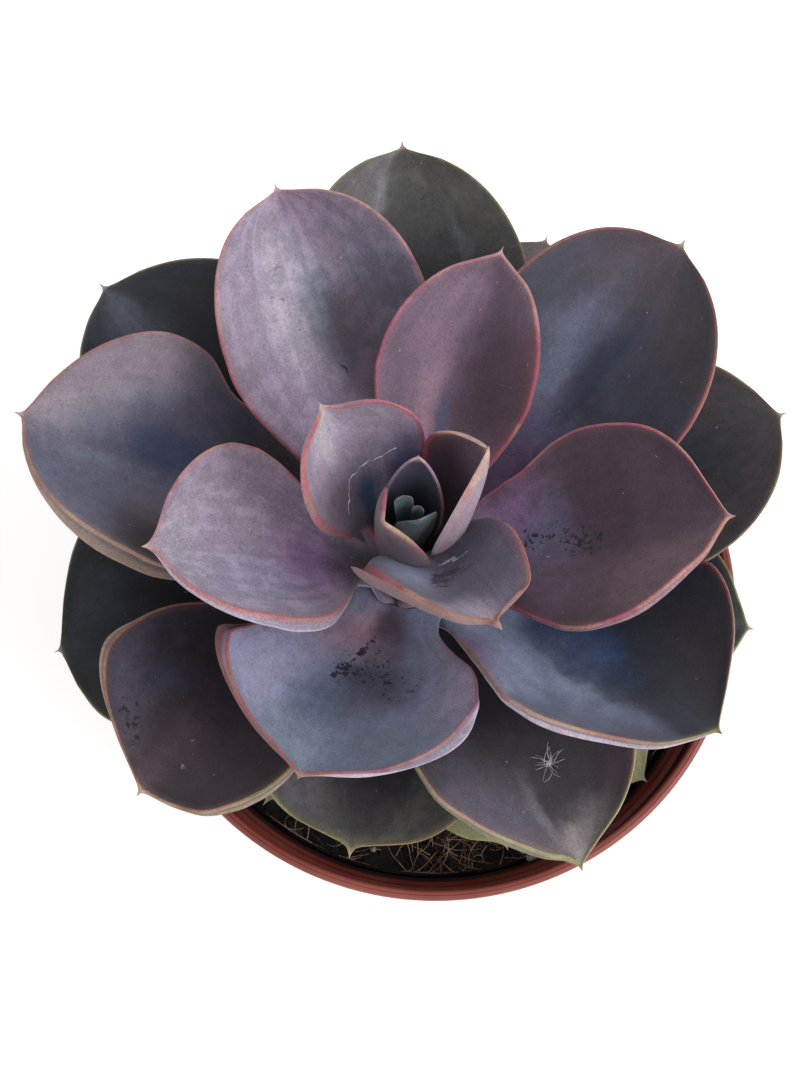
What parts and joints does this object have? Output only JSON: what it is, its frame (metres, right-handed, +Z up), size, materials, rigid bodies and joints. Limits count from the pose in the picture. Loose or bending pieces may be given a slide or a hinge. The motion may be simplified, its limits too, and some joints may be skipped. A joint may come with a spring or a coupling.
{
  "type": "potted echeveria",
  "caption": "Potted echeveria: a rosette of cupped fleshy leaves on a short stem, rooted in soil in a round tapered plastic pot with drain holes.",
  "frame": {"origin": "middle of the pot's flat underside, on the surface that it stands on", "axes": "+Z up the pot's axis; the picture looks along +Y and down, with +X to its right"},
  "size_m": [0.1448, 0.142, 0.163],
  "materials": {
    "pot": "satin red-brown moulded plastic",
    "soil": "moist dark potting mix with coir fibres",
    "stem": "dry brown stem",
    "leaf_inner": "matt waxy bloom, dusty lilac",
    "leaf_middle": "matt waxy bloom, slate blue to mauve",
    "leaf_outer": "matt, dark slate green",
    "leaf_low": "matt, light olive green"
  },
  "bodies": {
    "root": {"pot": "pot", "soil": "soil", "stem": "stem", "heart": "leaf_inner", "leaf_01": "leaf_inner", "leaf_02": "leaf_inner", "leaf_03": "leaf_inner", "leaf_04": "leaf_inner", "leaf_05": "leaf_inner", "leaf_06": "leaf_inner", "leaf_07": "leaf_inner", "leaf_08": "leaf_inner", "leaf_09": "leaf_inner", "leaf_10": "leaf_middle", "leaf_11": "leaf_middle", "leaf_12": "leaf_middle", "leaf_13": "leaf_middle", "leaf_14": "leaf_middle", "leaf_15": "leaf_middle", "leaf_16": "leaf_outer", "leaf_17": "leaf_outer", "leaf_18": "leaf_outer", "leaf_19": "leaf_outer", "leaf_20": "leaf_outer", "leaf_21": "leaf_outer", "leaf_22": "leaf_outer", "leaf_23": "leaf_low", "leaf_24": "leaf_low", "leaf_25": "leaf_low"}
  },
  "joints": []
}
